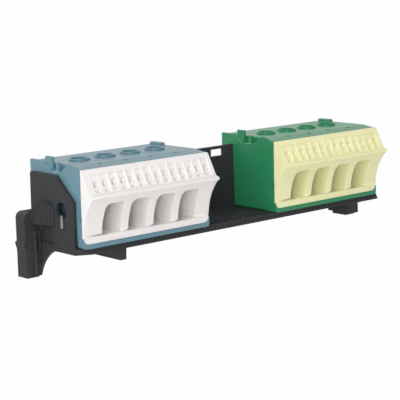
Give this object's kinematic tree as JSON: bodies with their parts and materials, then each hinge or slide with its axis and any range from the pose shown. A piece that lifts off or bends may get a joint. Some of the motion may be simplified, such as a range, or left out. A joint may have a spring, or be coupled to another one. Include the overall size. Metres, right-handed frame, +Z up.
{
  "type": "terminal block",
  "caption": "Blue and green screw and plug-in terminal blocks with pale front covers, side by side on a black clip-on carrier rail for a distribution board.",
  "frame": {"origin": "middle of the clip foot's rear face, where it meets the enclosure's upright", "axes": "+X along the carrier from the clip foot towards the green block, -Y towards the wiring side, +Z up"},
  "size_m": [0.2084, 0.0481, 0.0564],
  "materials": {
    "carrier_black": "fine matt moulded black",
    "blue_body": "satin moulded grey-blue",
    "white_cover": "satin moulded white",
    "green_body": "satin moulded green",
    "yellow_cover": "satin moulded pale yellow",
    "busbar_brass": "rolled and stamped",
    "spring_steel": "rolled spring strip",
    "screw_zinc": "zinc plated",
    "cage_steel": "zinc plated"
  },
  "bodies": {
    "carrier": {"carrier_rail": "carrier_black", "latch_leaf": "spring_steel", "neutral_body": "blue_body", "neutral_cover": "white_cover", "neutral_busbar": "busbar_brass", "neutral_springs": "spring_steel", "earth_body": "green_body", "earth_cover": "yellow_cover", "earth_busbar": "busbar_brass", "earth_springs": "spring_steel"},
    "neutral_screw_1": {"neutral_screw_1": "screw_zinc"},
    "neutral_cage_1": {"neutral_cage_1": "cage_steel"},
    "neutral_screw_2": {"neutral_screw_2": "screw_zinc"},
    "neutral_cage_2": {"neutral_cage_2": "cage_steel"},
    "neutral_screw_3": {"neutral_screw_3": "screw_zinc"},
    "neutral_cage_3": {"neutral_cage_3": "cage_steel"},
    "neutral_screw_4": {"neutral_screw_4": "screw_zinc"},
    "neutral_cage_4": {"neutral_cage_4": "cage_steel"},
    "earth_screw_1": {"earth_screw_1": "screw_zinc"},
    "earth_cage_1": {"earth_cage_1": "cage_steel"},
    "earth_screw_2": {"earth_screw_2": "screw_zinc"},
    "earth_cage_2": {"earth_cage_2": "cage_steel"},
    "earth_screw_3": {"earth_screw_3": "screw_zinc"},
    "earth_cage_3": {"earth_cage_3": "cage_steel"},
    "earth_screw_4": {"earth_screw_4": "screw_zinc"},
    "earth_cage_4": {"earth_cage_4": "cage_steel"}
  },
  "joints": [
    {"name": "neutral_screw_1_turn", "type": "hinge", "parent": "carrier", "child": "neutral_screw_1", "pos_m": [0.02175, -0.0163, 0.0302], "axis": [0, 0, -1], "range_deg": [0, 2700]},
    {"name": "neutral_cage_1_lift", "type": "slide", "parent": "carrier", "child": "neutral_cage_1", "axis": [0, 0, 1], "range_m": [0, 0.006]},
    {"name": "neutral_screw_2_turn", "type": "hinge", "parent": "carrier", "child": "neutral_screw_2", "pos_m": [0.03675, -0.0163, 0.0302], "axis": [0, 0, -1], "range_deg": [0, 2700]},
    {"name": "neutral_cage_2_lift", "type": "slide", "parent": "carrier", "child": "neutral_cage_2", "axis": [0, 0, 1], "range_m": [0, 0.006]},
    {"name": "neutral_screw_3_turn", "type": "hinge", "parent": "carrier", "child": "neutral_screw_3", "pos_m": [0.05175, -0.0163, 0.0302], "axis": [0, 0, -1], "range_deg": [0, 2700]},
    {"name": "neutral_cage_3_lift", "type": "slide", "parent": "carrier", "child": "neutral_cage_3", "axis": [0, 0, 1], "range_m": [0, 0.006]},
    {"name": "neutral_screw_4_turn", "type": "hinge", "parent": "carrier", "child": "neutral_screw_4", "pos_m": [0.06675, -0.0163, 0.0302], "axis": [0, 0, -1], "range_deg": [0, 2700]},
    {"name": "neutral_cage_4_lift", "type": "slide", "parent": "carrier", "child": "neutral_cage_4", "axis": [0, 0, 1], "range_m": [0, 0.006]},
    {"name": "earth_screw_1_turn", "type": "hinge", "parent": "carrier", "child": "earth_screw_1", "pos_m": [0.14175, -0.0163, 0.0302], "axis": [0, 0, -1], "range_deg": [0, 2700]},
    {"name": "earth_cage_1_lift", "type": "slide", "parent": "carrier", "child": "earth_cage_1", "axis": [0, 0, 1], "range_m": [0, 0.006]},
    {"name": "earth_screw_2_turn", "type": "hinge", "parent": "carrier", "child": "earth_screw_2", "pos_m": [0.15675, -0.0163, 0.0302], "axis": [0, 0, -1], "range_deg": [0, 2700]},
    {"name": "earth_cage_2_lift", "type": "slide", "parent": "carrier", "child": "earth_cage_2", "axis": [0, 0, 1], "range_m": [0, 0.006]},
    {"name": "earth_screw_3_turn", "type": "hinge", "parent": "carrier", "child": "earth_screw_3", "pos_m": [0.17175, -0.0163, 0.0302], "axis": [0, 0, -1], "range_deg": [0, 2700]},
    {"name": "earth_cage_3_lift", "type": "slide", "parent": "carrier", "child": "earth_cage_3", "axis": [0, 0, 1], "range_m": [0, 0.006]},
    {"name": "earth_screw_4_turn", "type": "hinge", "parent": "carrier", "child": "earth_screw_4", "pos_m": [0.18675, -0.0163, 0.0302], "axis": [0, 0, -1], "range_deg": [0, 2700]},
    {"name": "earth_cage_4_lift", "type": "slide", "parent": "carrier", "child": "earth_cage_4", "axis": [0, 0, 1], "range_m": [0, 0.006]}
  ],
  "couplings": [
    {"joint": "neutral_screw_1_turn", "follows": "neutral_cage_1_lift", "rad_per_m": 7854},
    {"joint": "neutral_screw_2_turn", "follows": "neutral_cage_2_lift", "rad_per_m": 7854},
    {"joint": "neutral_screw_3_turn", "follows": "neutral_cage_3_lift", "rad_per_m": 7854},
    {"joint": "neutral_screw_4_turn", "follows": "neutral_cage_4_lift", "rad_per_m": 7854},
    {"joint": "earth_screw_1_turn", "follows": "earth_cage_1_lift", "rad_per_m": 7854},
    {"joint": "earth_screw_2_turn", "follows": "earth_cage_2_lift", "rad_per_m": 7854},
    {"joint": "earth_screw_3_turn", "follows": "earth_cage_3_lift", "rad_per_m": 7854},
    {"joint": "earth_screw_4_turn", "follows": "earth_cage_4_lift", "rad_per_m": 7854}
  ]
}
